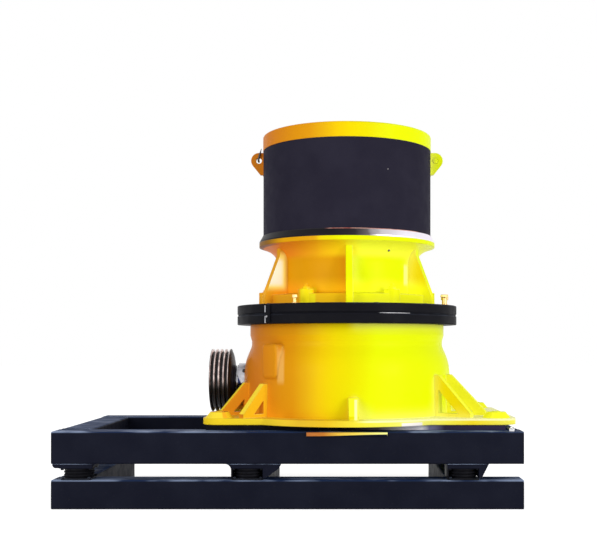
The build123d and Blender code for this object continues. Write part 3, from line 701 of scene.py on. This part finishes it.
def worn_liner_steel():
    """Cast manganese steel, brown-grey with a dusting of rock, scored bright by falling stone."""
    material, tree = blank("worn_liner_steel", Metallic=0.75)
    scores = ranged(noise(tree, 60, 3, (1.0, 1.0, 0.04)), 0.52, 0.72)
    rough_cast = noise(tree, 26, 5)
    base = tinted(ranged(rough_cast, 0.3, 0.7), (58, 52, 49), (98, 92, 88))
    return finished(material, Base_Color=coated(base, (170, 168, 168), scores, 0.7),
                    Roughness=ranged(scores, 0, 1, 0.62, 0.34),
                    Normal=bumped(rough_cast, 0.002, 0.5))


def machined_steel(name, colour, rough):
    """Machined steel with fine turning marks and a few darker oil stains."""
    material, tree = blank(name, Metallic=1.0)
    stained = tuple(part * 0.5 for part in colour)
    marks = noise(tree, 4.0, 2, (240.0, 1.0, 1.0))
    return finished(material, Base_Color=tinted(mottle(tree, 18, 4, 0.5, 0.8, 0.0, 0.5), colour, stained),
                    Roughness=ranged(marks, 0.3, 0.7, rough - 0.06, rough + 0.1),
                    Normal=bumped(marks, 0.0001, 0.5, round_normal(tree, 0.0015)))


def primed_casting():
    """Grey primed casting; the drive housing's end is bare metal, with painted shade on it: navy below a
    sloping line and near black on its lower half.
    """
    material, tree = blank("primed_casting")
    bare = patch(tree, across=(-0.640, -0.652))
    grain = mottle(tree, 38, 5, 0.3, 0.75)
    inside = tinted(grain, (84, 84, 86), (118, 116, 114))
    outside = tinted(grain, (206, 206, 212), (172, 172, 182))
    # Painted shade: navy below a sloping line at the housing's lower left
    slope = sum_of(product(measure(tree, "height"), 0.5), measure(tree, "across"))
    navy_line, soft = -0.3405, 0.004
    outside = coated(outside, (34, 44, 86), ranged(slope, navy_line + soft, navy_line - soft))
    # Painted shadow: near black on the housing's lower half
    lower_half = patch(tree, height=(DRIVE_Z - 0.012, DRIVE_Z - 0.024))
    outside = coated(outside, (14, 13, 22), lower_half, 0.96)
    return finished(material, Base_Color=coated(inside, outside, bare),
                    Metallic=product(bare, 0.85), Roughness=ranged(bare, 0, 1, 0.62, 0.33),
                    Normal=bumped(noise(tree, 70, 4), 0.0009, 0.5, round_normal(tree, 0.003)))


def sheave_iron():
    """Cast iron sheave: black painted grooves and web, a navy painted highlight on the hub's right-facing
    faces, and bare bright lands at the rim that fade to dark towards the bottom as painted shade.
    """
    material, tree = blank("sheave_iron", Specular_IOR_Level=0.3)
    centred = add(tree, "Mapping", {"Vector": place_of(tree), "Location": (0, 0, -DRIVE_Z)}).outputs[0]
    spoke = add(tree, "CombineXYZ", {0: part_of(centred, "Y"), 1: part_of(centred, "Z")}).outputs[0]
    radius = add(tree, "VectorMath", {0: spoke}, operation="LENGTH").outputs["Value"]
    # Painted shade: the bright lands fade to dark towards the bottom
    kept = ranged(measure(tree, "height"), DRIVE_Z - 0.06, DRIVE_Z + 0.05, 0.02, 1.0)
    land = product(ranged(radius, 0.196, 0.201), patch(tree, across=(-0.923, -0.8005, 0.0015)), kept)
    # Painted highlight: navy on the hub's and cone's right-facing faces
    hub = product(ranged(radius, 0.175, 0.135), patch(tree, rightward=(0.2, 0.5)))
    paint = tinted(mottle(tree, 22, 5), (11, 10, 12), (24, 23, 27))
    paint = coated(paint, (40, 48, 84), hub)
    bright = tinted(mottle(tree, 30, 4), (246, 226, 220), (176, 156, 152))
    return finished(material, Base_Color=coated(paint, bright, land),
                    Metallic=product(land, 0.9), Roughness=ranged(land, 0, 1, 0.42, 0.30),
                    Normal=bumped(noise(tree, 80, 4), 0.0006, 0.4, round_normal(tree, 0.0015)))


def rust_primer():
    """Red oxide primer on the gasket strip under the hopper, shown from just left of the axis to the right
    and dark towards both sides.
    """
    material, tree = blank("rust_primer", Specular_IOR_Level=0.2)
    primer = tinted(mottle(tree, 16, 4), (168, 74, 62), (226, 176, 158))
    kept = patch(tree, across=(-0.10, 0.44, 0.05))
    return finished(material, Base_Color=tinted(kept, (30, 27, 34), primer),
                    Roughness=mottle(tree, 60, 3, 0.3, 0.7, 0.5, 0.75),
                    Normal=bumped(noise(tree, 120, 3), 0.0004, 0.5))


YELLOW = yellow_enamel()
SKID = dark_enamel("skid_enamel", (21, 23, 35), (34, 50, 84), 0.50, 0.02, 0.0010, 1.0)
HOPPER = dark_enamel("hopper_enamel", (35, 33, 46), (36, 34, 47), 0.62, 0.03, 0.0008, 0.1)
BLACK = dark_enamel("joint_enamel", (16, 16, 21), (30, 31, 38), 0.48, 0.04, 0.0005, 0.15)
RUBBER = moulded_rubber()
RING_STEEL = turned_ring_steel()
LINER = worn_liner_steel()
BARE = machined_steel("machined_steel", (178, 178, 184), 0.30)
ZINC = machined_steel("plated_fasteners", (198, 198, 202), 0.28)
GOLD_PLATED = machined_steel("yellow_plated_fasteners", (244, 206, 138), 0.40)
DARK_FASTENER = machined_steel("oiled_fasteners", (78, 76, 78), 0.38)
CASTING = primed_casting()
SHEAVE = sheave_iron()
PRIMER = rust_primer()

FINISH_OF_SLOT = {
    "yellow_paint": YELLOW, "skid_paint": SKID, "hopper_paint": HOPPER, "black_paint": BLACK,
    "rubber": RUBBER, "ring_steel": RING_STEEL, "liner_steel": LINER, "bare_steel": BARE,
    "inner_casting": CASTING, "sheave_iron": SHEAVE,
}


def in_scene(name, data):
    """A new object of the data, linked into the scene."""
    made = bpy.data.objects.new(name, data)
    bpy.context.scene.collection.objects.link(made)
    return made


def show(name, shape, finish, body="machine", sharp=35):
    """Makes a piece of a shape: smooth but for edges over the sharp angle, riding on its body."""
    points, quads, triangles = shape
    mesh = bpy.data.meshes.new(name)
    mesh.from_pydata(points.tolist(), [], quads.tolist() + triangles.tolist())
    mesh.update()
    mesh.shade_smooth()
    mesh.set_sharp_from_angle(angle=math.radians(sharp))
    mesh.materials.append(finish)
    piece = in_scene(name, mesh)
    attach(piece, body)


# Joint rings: the fasteners on top, the guide lug at the left, and the ring seated in the notch
def joint_fasteners():
    """Tall plated bolts, a smaller one at the left, two pins and flush screws."""
    bolt_circle, pin_circle, screw_circle = 0.692, 0.690, 0.706
    tall = joined(bar(0.0165, 0.053, 24), washer(0.027, 0.006), moved(hex_prism(0.047, 0.022), (0, 0, 0.050)))
    places = on_circle(bolt_circle, [340, 8.4, 118], JOINT_TOP)
    show("joint_tall_bolts", copies(tall, places, upright([5, 40, 12])), GOLD_PLATED)
    head = moved(hex_prism(0.031, 0.022), (0, 0, 0.032))
    raised = joined(bar(0.011, 0.034, 20), washer(0.019, 0.005), head)
    place = on_circle(bolt_circle, 241.6, JOINT_TOP)[0]
    show("joint_raised_bolt", moved(raised, place), GOLD_PLATED)
    pin = joined(hex_prism(0.018, 0.010), stud(0.0065, 0.062, 0.004))
    show("joint_pins", copies(pin, on_circle(pin_circle, [217, 143], JOINT_TOP)), YELLOW)
    angles = np.arange(12) * 30 + 15
    screws = copies(socket_screw(0.016, 0.003), on_circle(screw_circle, angles, JOINT_TOP), upright(angles))
    show("joint_flush_screws", screws, DARK_FASTENER)


def guide_lug():
    """A keeper plate across both joint rings, with a bright screw and two guide strips."""
    angle = 228.6
    turn = outward(angle)[0]
    place = on_circle(JOINT_RADIUS - 0.004, angle, JOINT_MID)[0]
    show("guide_lug", copies(slab(0.018, 0.058, 0.016, 0.004, 0.002), place, turn), BLACK)
    screw = copies(socket_screw(0.0065, 0.005), place + turn @ np.array([-0.004, -0.019, 0.016]), turn)
    show("guide_lug_screw", screw, ZINC)
    spots = [place + turn @ np.array([-0.026, rise, 0.004]) for rise in (0.030, -0.038)]
    show("guide_strips", copies(slab(0.006, 0.022, 0.006, 0.002, 0.001), spots, turn), BARE)


def joint_notch_ring():
    """A thin dark ring in the notch between the joint rings, and a short tapered arc of bright steel on it
    that stands in for a highlight.
    """
    circle = on_circle(0.7445, np.linspace(0, 360, 220, endpoint=False), JOINT_MID)
    show("joint_notch_ring", carried(round_section(0.0034, 8), circle, (0, 0, 1), closed=True), BLACK)
    # A bright steel arc that stands in for a highlight in the notch
    count = 60
    path = on_circle(0.7462, np.linspace(285, 305, count), JOINT_MID)
    swell = np.sin(np.linspace(0, np.pi, count)) ** 0.35
    thick = 0.0031 * swell * np.linspace(1.0, 0.55, count) + 0.0002
    show("joint_notch_highlight", carried(round_section(thick, 8), path, (0, 0, 1)), ZINC)


# Top shell and base
def top_shell_details():
    """Lock nuts on the six jack screws and a grease plug in the throat."""
    angles = np.arange(6) * 60 + 1.5
    nut = joined(washer(0.031, 0.005), moved(hex_prism(0.044, 0.014), (0, 0, 0.0045)))
    nuts = copies(nut, on_circle(0.554, angles, BOSS_TOP), upright(angles + 12))
    show("jack_lock_nuts", nuts, YELLOW)
    plug = copies(hex_bolt(0.013, 0.006), on_circle(0.499, 302.8, 1.630), outward(302.8))
    show("grease_plug", plug, DARK_FASTENER)


def foot_plugs():
    """Flush anchor screws in the four feet."""
    places = [(CRUSHER_X + x, y, FOOT_TOP) for x in (-0.815, 0.955) for y in (-0.525, 0.525)]
    show("foot_anchor_screws", copies(socket_screw(0.030, 0.004), places), YELLOW)


# Hopper: the gasket strip under it, the liners inside, and the eyes' beads, hook and plug
def hopper_details():
    """The primed gasket strip, the eyes' weld beads and a liner bolt's end on the drum."""
    inner, outer, thick = 0.560, 0.5795, 0.0035
    strip = revolved([(inner, 0), (outer, 0), (outer, thick), (inner, thick), (inner, 0)], 160)
    show("hopper_gasket", moved(strip, (CRUSHER_X, 0, SPIDER_TOP)), PRIMER)
    beads = []
    for side in (-1, 1):
        for y in (-0.0145, 0.0145):
            x = CRUSHER_X + side * (HOPPER_RADIUS + 0.001)
            beads.append(weld([(x, y, 2.182), (x, y, HOPPER_TOP - 0.002)], (1, 0, 0), 0.0045))
    show("lifting_eye_welds", joined(*beads), YELLOW)
    dot = copies(hex_bolt(0.009, 0.002), on_circle(HOPPER_RADIUS - 0.0005, 297.2, 2.143), outward(297.2))
    show("liner_bolt_end", dot, DARK_FASTENER)


def hopper_liners():
    """Eight curved wear plates inside the drum, each held by six flat round bolt heads."""
    outer, thick, low, high = 0.5625, 0.012, 1.800, 2.334
    half_height, half_thick = (high - low) / 2, thick / 2
    outline = np.array([(-1, -1), (1, -1), (1, 1), (-1, 1)]) * (half_height, half_thick)
    plates = []
    for start in np.arange(8) * 45:
        path = on_circle(outer - half_thick, np.linspace(start + 0.5, start + 44.5, 14), low + half_height)
        plates.append(carried(outline, path, (0, 0, 1)))
    show("hopper_liners", joined(*plates), LINER, sharp=30)
    angles = (np.arange(8)[:, None] * 45 + [11, 34]).ravel()
    heads = [copies(washer(0.018, 0.005), on_circle(outer - thick, angles, z), outward(angles + 180))
             for z in (1.88, 2.06, 2.24)]
    show("hopper_liner_bolts", joined(*heads), DARK_FASTENER)


def eye_hook():
    """A hook in the left lifting eye: half a ring through the hole, then a tapered shank."""
    s = np.linspace(0, 1, 48)
    turn = np.pi * (0.35 + 0.65 * np.clip(s / 0.5, 0, 1))
    rise = np.clip((s - 0.5) / 0.5, 0, 1)
    x = CRUSHER_X - 0.609 + 0.020 * rise
    y = 0.024 * np.cos(turn) - 0.004 * rise
    z = HOPPER_TOP - 0.046 - 0.012 * np.sin(turn) + 0.072 * rise
    radius = 0.007 * (1 - 0.75 * np.clip((s - 0.72) / 0.28, 0, 1))
    path = np.stack([x, y, z], -1)
    show("eye_hook", carried(round_section(radius, 12), path, (1, 0, 0.2)), DARK_FASTENER)


def eye_plug():
    """A domed plug in the right eye's hole: r falls along a quarter ellipse to its middle at each side."""
    t = np.linspace(0, np.pi / 2, 6)
    rise = np.stack([0.0192 * np.cos(t), 0.0125 + 0.0045 * np.sin(t)], -1)
    profile = np.concatenate([rise[::-1] * (1, -1), rise])[::-1]
    place = (CRUSHER_X + 0.607, 0, HOPPER_TOP - 0.054)
    plug = copies(revolved(profile, 28), place, outward(270)[0])
    show("right_eye_plug", facing_out(plug), YELLOW)


# Spider
def spider_details():
    """Six bolts in the cap's dome and an eye bolt on its top."""
    bolts = copies(hex_bolt(0.024, 0.014), on_circle(0.125, np.arange(6) * 60 + 30, 1.9425),
                   upright(np.arange(6) * 20))
    show("spider_cap_bolts", bolts, DARK_FASTENER)
    a = np.linspace(0, 2 * np.pi, 40, endpoint=False)
    ring_radius = 0.026
    ring = np.stack([CRUSHER_X + ring_radius * np.cos(a), np.zeros_like(a),
                     CAP_TOP + 0.040 + ring_radius * np.sin(a)], -1)
    eye = carried(round_section(0.0075, 12), ring, (0, 1, 0), closed=True)
    collar = revolved([(0, 0), (0.028, 0), (0.028, 0.008), (0.014, 0.016), (0.010, 0.022), (0, 0.022)], 28)
    collar = moved(collar, (CRUSHER_X, 0, CAP_TOP - 0.003))
    show("cap_eye_bolt", joined(eye, collar), ZINC)


# Skid: the mounts, their brackets, the stop at the pad's end and the weld beads
def mount_details():
    """Bulged rubber rings round each mount, a foot plate under it, and bolts in the foot and the bracket."""
    layer, leaf, inner = 0.01425, 0.005, 0.080
    phi = np.linspace(-np.pi / 2, np.pi / 2, 9)
    bulge = np.stack([0.0865 + 0.007 * np.cos(phi), layer / 2 + layer / 2 * np.sin(phi)], -1)
    bulge = np.concatenate([[(inner, 0.0)], bulge, [(inner, layer)], [(inner, 0.0)]])
    rows = ((-LONG_BEAM_Y, FRONT_MOUNTS_X), (LONG_BEAM_Y, REAR_MOUNTS_X))
    centres = np.array([(x, y, 0.0) for y, mounts in rows for x in mounts])
    ring_places = np.concatenate([centres + (0, 0, LOWER_TOP + k * (layer + leaf)) for k in range(4)])
    show("mount_rubber_rings", copies(revolved(bulge, 40), ring_places), RUBBER, sharp=60)
    plate = slab(0.095, 0.094, 0.007, 0.018, 0.002)
    show("mount_foot_plates", copies(plate, centres + (0, 0, LOWER_TOP)), BLACK)
    bolt = hex_bolt(0.018, 0.009)
    for name, half_x, half_y, height, turn in (
            ("mount_foot_bolts", 0.082, 0.081, LOWER_TOP + 0.007, upright(20)[0]),
            ("bracket_bolts", 0.086, 0.076, 0.252, DOWNWARD)):
        corners = np.array([(x, y, height) for x in (-half_x, half_x) for y in (-half_y, half_y)])
        spots = (centres[:, None, :] + corners[None]).reshape(-1, 3)
        show(name, copies(bolt, spots, turn), BLACK)


def bracket_corner(x, side, radius, y):
    """A concave round from a bracket's side to the beam above it: a quarter circle against its two legs."""
    turn = np.linspace(0, np.pi / 2, 9)
    middle_x, middle_z = x + side * radius, UPPER_BOTTOM - radius
    deep = np.full(9, y)
    arc = np.stack([middle_x - side * radius * np.cos(turn), deep, middle_z + radius * np.sin(turn)], -1)
    run = turn * 4 / np.pi
    legs = np.stack([x + side * radius * np.maximum(run - 1, 0), deep,
                     middle_z + radius * np.minimum(run, 1)], -1)
    return between_lines(arc, legs, (0, BRACKET_DEPTH, 0))


def bracket_details():
    """Concave corners beside the brackets, a cheek at the left one, and plates down two of them."""
    corners, plates = [], []
    for y, mounts in zip(BRACKET_FRONTS, (FRONT_MOUNTS_X, REAR_MOUNTS_X)):
        for x, side, radius in zip(mounts, (1, -1, -1), (0.027, 0.038, 0.012)):
            corners.append(bracket_corner(x + side * BRACKET_HALF, side, radius, y))
        for x in mounts[1:]:
            plate = slab(0.0045, 0.086, 0.069, 0.003, 0.001)
            plates.append(moved(plate, (x - BRACKET_HALF + 0.0045, y + 0.086, 0.184)))
    show("bracket_corners", joined(*corners), SKID)
    show("snubber_plates", joined(*plates), BLACK)
    turn = np.linspace(0, np.pi / 2, 7)
    front, round_x, round_z, radius = BRACKET_FRONTS[0], -1.434, 0.2755, 0.022
    low = np.stack([round_x - radius * np.sin(turn), np.full(7, front), round_z - radius * np.cos(turn)], -1)
    low = np.concatenate([[(FRONT_MOUNTS_X[0] - BRACKET_HALF, front, round_z - radius)], low])
    high = low.copy()
    high[:, 2] = UPPER_BOTTOM
    show("left_bracket_cheek", between_lines(low, high, (0, BRACKET_DEPTH, 0)), SKID)


def pad_stop():
    """A small plated stop bolted at the right end of the front pad."""
    stop = joined(slab(0.017, 0.014, 0.020, 0.004, 0.002), moved(hex_bolt(0.016, 0.007), (0, 0, 0.0195)))
    show("pad_stop", moved(stop, (CRUSHER_X + 1.020, -0.722, UPPER_TOP)), ZINC)


def skid_welds():
    """Weld beads at the cross beams' ends and round the upper long beams' end plates."""
    seam_y, end_x = 0.5495, SKID_HALF_LENGTH - 0.0055
    upper_beams = ((-1.36, 0.188), (1.36, 0.188), (CRUSHER_X - 0.75, 0.18))
    joints = [(x, -seam_y, 0.0065, LOWER_TOP, width) for x, width in zip(REAR_MOUNTS_X, (0.188, 0.2, 0.2))]
    joints += [(x, y, UPPER_BOTTOM, UPPER_TOP, width) for y in (-seam_y, seam_y) for x, width in upper_beams]
    beads = [weld(beam_loop(*joint), (0, 1, 0), 0.005, closed=True) for joint in joints]
    show("frame_weld_beads", joined(*beads), SKID)
    seams = []
    loop = beam_loop(0, 0, UPPER_BOTTOM + 0.002, UPPER_TOP - 0.002, 0.196)
    for x in (-end_x, end_x):
        for y in (-LONG_BEAM_Y, LONG_BEAM_Y):
            path = np.stack([np.full(len(loop), x), y + loop[:, 0], loop[:, 2]], -1)
            seams.append(weld(path, (1, 0, 0), 0.0035, closed=True))
    show("end_plate_weld_beads", joined(*seams), SKID)


# Drive: the housing's fittings, and what turns with the sheave
def housing_details():
    """The drive housing's screws, its plug, and a black plate under it that stands in for the shade there."""
    angles = np.arange(8) * 45 + 22.5
    screws = copies(hex_bolt(0.015, 0.007), on_drive_circle(0.102, angles, HOUSING_END), TO_LEFT)
    show("housing_screws", screws, ZINC)
    sine, cosine = np.sin(np.radians(34.5)), np.cos(np.radians(34.5))
    turn = np.array([[1.0, 0, 0], [0, sine, -cosine], [0, cosine, sine]])
    radius = 0.1152
    place = (CRUSHER_X - 0.701, -radius * cosine, DRIVE_Z + radius * sine)
    show("housing_plug", copies(hex_bolt(0.021, 0.008), place, turn), DARK_FASTENER)
    # A black plate put under the housing where there is shade
    shade_plate = slab(0.048, 0.110, 0.092, 0.010, 0.002)
    show("housing_shade_plate", moved(shade_plate, (CRUSHER_X - 0.7005, -0.02, 0.652)), BLACK)


def turning_details():
    """The cone, key, screws and end bolt that turn with the sheave."""
    t = np.linspace(0, 1, 9)
    cone = np.stack([0.205 - 0.1015 * t, 0.7965 - 0.0245 * np.sqrt(t)], -1)
    profile = np.concatenate([cone, cone[::-1] + (-0.001, 0.005), cone[:1]])
    cone = copies(revolved(profile, 72), (CRUSHER_X, 0, DRIVE_Z), TO_LEFT)
    show("sheave_cone", facing_out(cone), SHEAVE, body="drive")
    screws = copies(socket_screw(0.0085, 0.004), on_drive_circle(0.0535, [60, 180, 300], BUSH_END), TO_LEFT)
    show("bush_screws", screws, DARK_FASTENER, body="drive")
    bolt = joined(washer(0.030, 0.006), moved(hex_prism(0.024, 0.010), (0, 0, 0.0055)))
    bolt = copies(bolt, (CRUSHER_X - SHAFT_END, 0, DRIVE_Z), TO_LEFT)
    show("shaft_end_bolt", bolt, ZINC, body="drive")
    key = slab(0.0115, 0.006, 0.008, 0.002, 0.001)
    key = moved(key, (CRUSHER_X - BUSH_END - 0.0105, 0, DRIVE_Z + 0.0375))
    show("shaft_key", key, BARE, body="drive")


def underside_details():
    """Bolts under the hydraulic cylinder's flange."""
    bolts = copies(hex_bolt(0.024, 0.014), on_circle(0.235, np.arange(12) * 30, 0.507), DOWNWARD)
    show("cylinder_flange_bolts", bolts, DARK_FASTENER)


for row in frame["record"]["subparts"]:
    solid = frame["nodes"][row["node"]]
    solid.data.materials.clear()
    solid.data.materials.append(FINISH_OF_SLOT[row["material_slot"]])

for make in (joint_fasteners, guide_lug, joint_notch_ring, top_shell_details, foot_plugs, hopper_details,
             hopper_liners, eye_hook, eye_plug, spider_details, mount_details, bracket_details, pad_stop,
             skid_welds, housing_details, turning_details, underside_details):
    make()


# Stage: pale floor, soft light from both sides, white background
def seen_or_mirrored(tree):
    """1 for rays straight from the camera and for mirrored or refracted ones, otherwise 0."""
    path = add(tree, "LightPath").outputs
    shown = worked("MAXIMUM", path["Is Camera Ray"], path["Is Glossy Ray"])
    return worked("MAXIMUM", shown, path["Is Transmission Ray"])


def white_floor():
    """A wide pale floor that shows as white but keeps the object's soft shadow."""
    material = bpy.data.materials.new("pale_floor")
    tree = empty_tree(material)
    matt = add(tree, "BsdfDiffuse", {"Color": (0.9, 0.9, 0.9, 1)}).outputs[0]
    glow = add(tree, "Emission", {"Color": (1, 1, 1, 1), "Strength": 0.55}).outputs[0]
    bright = add(tree, "AddShader", {0: matt, 1: glow}).outputs[0]
    mixed = add(tree, "MixShader", {0: seen_or_mirrored(tree), 1: matt, 2: bright})
    add(tree, "OutputMaterial", {0: mixed.outputs[0]})
    mesh = bpy.data.meshes.new("floor")
    far = 40.0
    mesh.from_pydata([(-far, -far, 0), (far, -far, 0), (far, far, 0), (-far, far, 0)], [], [(0, 1, 2, 3)])
    mesh.materials.append(material)
    in_scene("floor", mesh)


def white_world(ambient):
    """White where it is seen or mirrored, and a plain grey level of light otherwise."""
    world = bpy.data.worlds.new("studio")
    bpy.context.scene.world = world
    tree = empty_tree(world)
    strength = ranged(seen_or_mirrored(tree), 0, 1, ambient, 1.0)
    background = add(tree, "Background", {"Color": (1, 1, 1, 1), "Strength": strength})
    add(tree, "OutputWorld", {0: background.outputs[0]})


def soft_lamp(name, place, aim_height, size, power):
    """A square area lamp at a place, turned towards a height on the crusher's axis."""
    data = bpy.data.lights.new(name, "AREA")
    data.size = size
    data.energy = power
    lamp = in_scene(name, data)
    lamp.location = place
    way = Vector((CRUSHER_X, 0, aim_height)) - Vector(place)
    lamp.rotation_euler = way.to_track_quat("-Z", "Y").to_euler()


def photograph_camera():
    """A level camera straight in front of the crusher's axis, shifted as the photograph's frame is."""
    data = bpy.data.cameras.new("camera")
    data.sensor_fit = "HORIZONTAL"
    data.sensor_width = 36.0
    data.lens = 61.09
    data.shift_x = -0.0812
    data.shift_y = 0.1307
    data.clip_end = 200
    camera = in_scene("camera", data)
    camera.location = (CRUSHER_X, -7.0, 1.0155)
    camera.rotation_euler = (math.radians(90), 0, 0)
    bpy.context.scene.camera = camera


white_floor()
white_world(ambient=0.68)
soft_lamp("right_key", (6.0, -5.2, 2.6), aim_height=1.1, size=3.0, power=215)
soft_lamp("left_fill", (-5.0, -6.5, 2.4), aim_height=1.0, size=3.5, power=190)
photograph_camera()
bpy.context.scene.view_settings.view_transform = "Standard"
